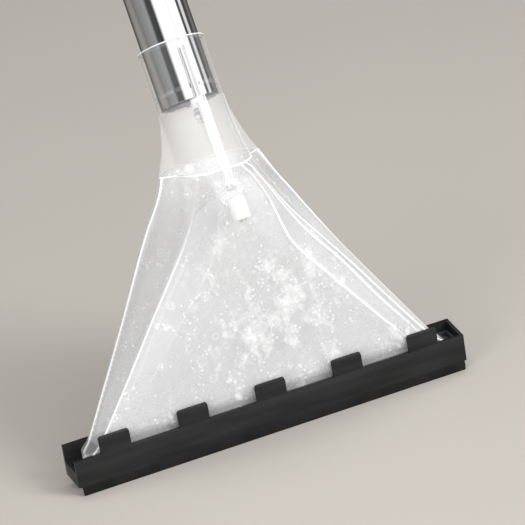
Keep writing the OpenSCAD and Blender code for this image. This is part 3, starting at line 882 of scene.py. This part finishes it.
def seals():
    """Every ring seal of the part."""
    big = TUBE_R + 0.06
    pipe = (0, -PIPE_OFF)
    seal_ring("socket_seal", "head", TUBE_LOW + 6.1, TUBE_LOW + 8.5, big, TUBE_R + 1.15,
              SILICONE)
    seal_ring("coupling_seal", "tube", TUBE_HIGH + 11.1, TUBE_HIGH + 13.5, big, TUBE_R + 1.25,
              RUBBER)
    seal_ring("head_pipe_seal", "head", -45.9, -44.2, 3.56, 4.45, SILICONE, pipe, 40)
    seal_ring("plug_seal", "tube", -43.4, -42.0, 2.92, 3.5, SILICONE, pipe, 40)
    seal_ring("outlet_seal", "tube", TUBE_HIGH + 0.1, TUBE_HIGH + 1.5, 3.56, 3.95,
              RUBBER, pipe, 40)
    seal_ring("jet_seal", "head", JET_HIGH - 1.7, JET_HIGH - 0.1, 3.25, 4.1,
              RUBBER, (0, -JET_OFF), 40)


def square_outline(half, radius, z, gleam=0.0, flat=0.0, steps=5):
    """A square with rounded corners, round the jet's axis in the neck's frame."""
    points = []
    for corner in range(4):
        start = corner * math.pi / 2
        cx = (half - radius) * (1 if corner in (0, 3) else -1)
        cy = (half - radius) * (1 if corner in (0, 1) else -1)
        for k in range(steps + 1):
            a = start + k * math.pi / 2 / steps
            p = Vector((cx + radius * math.cos(a), cy + radius * math.sin(a) - JET_OFF, z))
            points.append((*(NECK @ (p * MM) / MM), gleam if 0 < k < steps else flat))
    return points


def water_channel():
    """The straight pipe down the front of the neck, and the cup that the tube plugs into."""
    half, low, bore = CHANNEL_W / 2, JET_HIGH + 5, 1.5
    outer = [square_outline(half - 0.4, 1.0, low), square_outline(half, 1.2, low + 0.4)]
    # Painted highlight along the pipe's corners, fainter on its flats, stronger below the tube's
    # end
    for z in spread(low + 1, CHANNEL_HIGH - 1.5, 24):
        below = min(max((TUBE_LOW - 4 - z) / 10, 0.0), 1.0)
        outer.append(square_outline(half, 1.2, z, 0.35 + 0.65 * below, 0.25 * below))
    outer += [
        square_outline(half, 1.2, CHANNEL_HIGH - 1.2, 0.3),
        square_outline(half - 0.35, 1.2, CHANNEL_HIGH - 0.4, 0.3),
        square_outline(half - 1.2, 1.0, CHANNEL_HIGH, 0.3),
        square_outline(0.3, 0.25, CHANNEL_HIGH),
    ]
    inner = [square_outline(bore, bore - 0.01, z) for z in (low, CHANNEL_HIGH - 1.6)]
    inner.append(square_outline(0.3, 0.29, CHANNEL_HIGH - 1.2))
    bm = bmesh.new()
    out, inn = add_rows(bm, outer), add_rows(bm, inner)
    quad_grid(bm, out, True)
    quad_grid(bm, inn, True, flip=True)
    quad_grid(bm, [inn[0], out[0]], True)
    bm.faces.new(out[-1])
    bm.faces.new(inn[-1])
    cup = rounded([
        (0.01, CUP_LOW), (5.2, CUP_LOW), (5.2, CUP_HIGH), (3.56, CUP_HIGH), (3.56, CUP_LOW + 1),
        (0.01, CUP_LOW + 1),
    ], 0.35, 3)
    merge(bm, lathe(cup, (0, -PIPE_OFF), 48))
    side, mid = BRIDGE_W / 2, CUP_LOW + BRIDGE_H / 2
    across = rounded([
        (-side, CUP_LOW), (side, CUP_LOW), (side, CUP_LOW + BRIDGE_H), (-side, CUP_LOW + BRIDGE_H),
    ], 0.8)
    bar = []
    for y, scale in ((half - JET_OFF, 1.25), (half - JET_OFF + 0.8, 1.0), (-PIPE_OFF - 4.9, 1.0)):
        bar.append([NECK @ (Vector((x * scale, y, mid + (z - mid) * scale)) * MM) / MM
                    for x, z in across])
    rows = add_rows(bm, bar)
    quad_grid(bm, rows, True)
    bm.faces.new(rows[0][::-1])
    bm.faces.new(rows[-1])
    finish_piece("head_water_pipe_clear", bm, CLEAR_PIPE, "head", ["head_water_pipe"])


def water_line():
    """The water pipe inside the tube."""
    pipe = (0, -PIPE_OFF)
    low, high = TUBE_LOW + 4, TUBE_HIGH - 6
    outline = [(PIPE_BORE, low), (PIPE_R, low), (PIPE_R, high), (PIPE_BORE, high)]
    finish_piece("tube_water_line_clear", lathe(rounded(outline, 0.3, 3), pipe, 48), CLEAR_PIPE,
                 "tube", ["tube_water_line"])


def bristle_tufts():
    """Two staggered rows of nylon tufts, each a spread of thin tapering bristles."""
    rng = random.Random(7)
    low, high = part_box("bristles")
    bm = bmesh.new()
    rows, pitch, per_tuft = 2, 0.0029, 9
    mid_y = (low.y + high.y) / 2
    count = int((high.x - low.x - 0.002) / pitch)
    for row in range(rows):
        for i in range(count):
            x = low.x + 0.0015 + (i + 0.5 * row) * pitch
            y = mid_y + (row - 0.5) * 0.0013
            for _ in range(per_tuft):
                a = rng.uniform(0, 2 * math.pi)
                reach = rng.uniform(0.0, 0.00055)
                top = Vector((
                    x + reach * 0.7 * math.cos(a), y + reach * 0.5 * math.sin(a), high.z
                ))
                lean = reach * 1.3 + rng.uniform(-0.0001, 0.0001)
                tip = Vector((x + lean * math.cos(a), y + lean * 0.8 * math.sin(a),
                              low.z + rng.uniform(0.0, 0.0004)))
                tip.x = min(max(tip.x, low.x), high.x)
                tip.y = min(max(tip.y, low.y), high.y)
                rings = []
                for p, r in ((top, 0.00015), (top.lerp(tip, 0.6), 0.00014), (tip, 0.0001)):
                    rings.append([
                        bm.verts.new(p + Vector((r * math.cos(k * math.pi / 2),
                                                 r * math.sin(k * math.pi / 2), 0)))
                        for k in range(4)
                    ])
                quad_grid(bm, rings, True)
                bm.faces.new(rings[0][::-1])
                bm.faces.new(rings[-1])
    finish_piece("bristle_tufts", bm, BRISTLE, "adapter", ["bristles"])


# Profile of one hook: [y, z], and how it is set along the adapter
HOOK_PROFILE = [
    (-10.58, 21.5), (-8.6, 21.5), (-8.6, 30.6), (-8.0, 31.2), (-8.0, 32.8), (-8.6, 33.5),
    (-9.6, 33.5), (-10.1, 32.8),
]
HOOK_COUNT, HOOK_PITCH, HOOK_W, HOOK_CORNER = 5, 49.4, 19, 1.6
HOOK_FOOT_Z, HOOK_TOP_Z = 21.5, 33.5
FRONT_WALL_TOP, HOOK_BACK_Y, HOOK_ZONE_X = 23.05, -7.5, 118


def hook(bm, centre):
    """One hook with rounded upper corners: its profile set along X, lower near its ends."""
    profile = rounded(HOOK_PROFILE, 0.45, 3)
    half = HOOK_W / 2
    stations = [HOOK_CORNER * (1 - math.cos(k * math.pi / 16)) for k in range(9)]
    xs = [-half + s for s in stations] + [half - s for s in reversed(stations)]
    rows = []
    for x in xs:
        gap = HOOK_CORNER - min(HOOK_CORNER, half - abs(x))
        drop = HOOK_CORNER - math.sqrt(max(HOOK_CORNER**2 - gap**2, 0.0))
        scale = (HOOK_TOP_Z - drop - HOOK_FOOT_Z) / (HOOK_TOP_Z - HOOK_FOOT_Z)
        rows.append([(centre + x, y, HOOK_FOOT_Z + (z - HOOK_FOOT_Z) * scale)
                     for y, z in profile])
    verts = add_rows(bm, rows)
    quad_grid(bm, verts, True)
    bm.faces.new(verts[0][::-1])
    bm.faces.new(verts[-1])


def adapter():
    """The black channel, with its hooks made anew with rounded corners."""
    bm = welded("adapter_frame")
    old = [
        f for f in bm.faces
        if max(v.co.z for v in f.verts) > FRONT_WALL_TOP * MM
        and max(v.co.y for v in f.verts) < HOOK_BACK_Y * MM
        and max(abs(v.co.x) for v in f.verts) < HOOK_ZONE_X * MM
    ]
    bmesh.ops.delete(bm, geom=old, context="FACES")
    open_edges = [e for e in bm.edges if len(e.link_faces) == 1]
    bmesh.ops.holes_fill(bm, edges=open_edges, sides=0)
    bmesh.ops.delete(bm, geom=[e for e in bm.edges if not e.link_faces], context="EDGES")
    bmesh.ops.dissolve_limit(
        bm, angle_limit=math.radians(1.0), verts=bm.verts, edges=bm.edges, delimit={"NORMAL"}
    )
    round_edges(bm, 0.35, 3, 30)
    for i in range(HOOK_COUNT):
        hook(bm, (i - (HOOK_COUNT - 1) / 2) * HOOK_PITCH)
    finish_piece("adapter_frame_finish", bm, BLACK, "adapter", ["adapter_frame"],
                 50)


# CAD nodes whose shape is right: node, width of its rounded edges, material, body and slot
HARD_PARTS = [
    ("squeegee_lip", 0.25, RUBBER, "adapter", "black_rubber"),
    ("brush_backing", 0.2, BLACK, "adapter", "black_plastic"),
    ("end_seal", 0.3, GREY_RUBBER, "adapter", "grey_rubber"),
    ("spray_divider", 0.3, CLEAR_BACK, "head", "clear_shell"),
    ("jet_holder", 0.4, CLEAR_PIPE, "head", "clear_pipe"),
    ("jet_nut", 0.4, WHITE, "jet", "white_plastic"),
    ("jet_tip", 0.15, BRASS, "jet", "brass"),
    ("jet_filter", 0.1, MESH_STEEL, "jet", "steel_mesh"),
    ("tube_guide", 0.3, GREY, "tube", "grey_plastic"),
    ("water_plug", 0.2, WHITE, "tube", "white_plastic"),
    ("water_outlet", 0.2, WHITE, "tube", "white_plastic"),
    ("tube_coupling", 0.5, BLACK, "tube", "black_plastic"),
    ("lock_ring", 0.5, GREY, "lock", "grey_plastic"),
]


def hard_parts():
    """CAD nodes whose shape is right, with their edges rounded."""
    for row in HARD_PARTS:
        refined_piece(*row)


camera()
studio()
floor()
funnel_shell(front=True)
funnel_shell(front=False)
neck_socket()
chrome_tube()
seals()
water_channel()
water_line()
adapter()
bristle_tufts()
hard_parts()
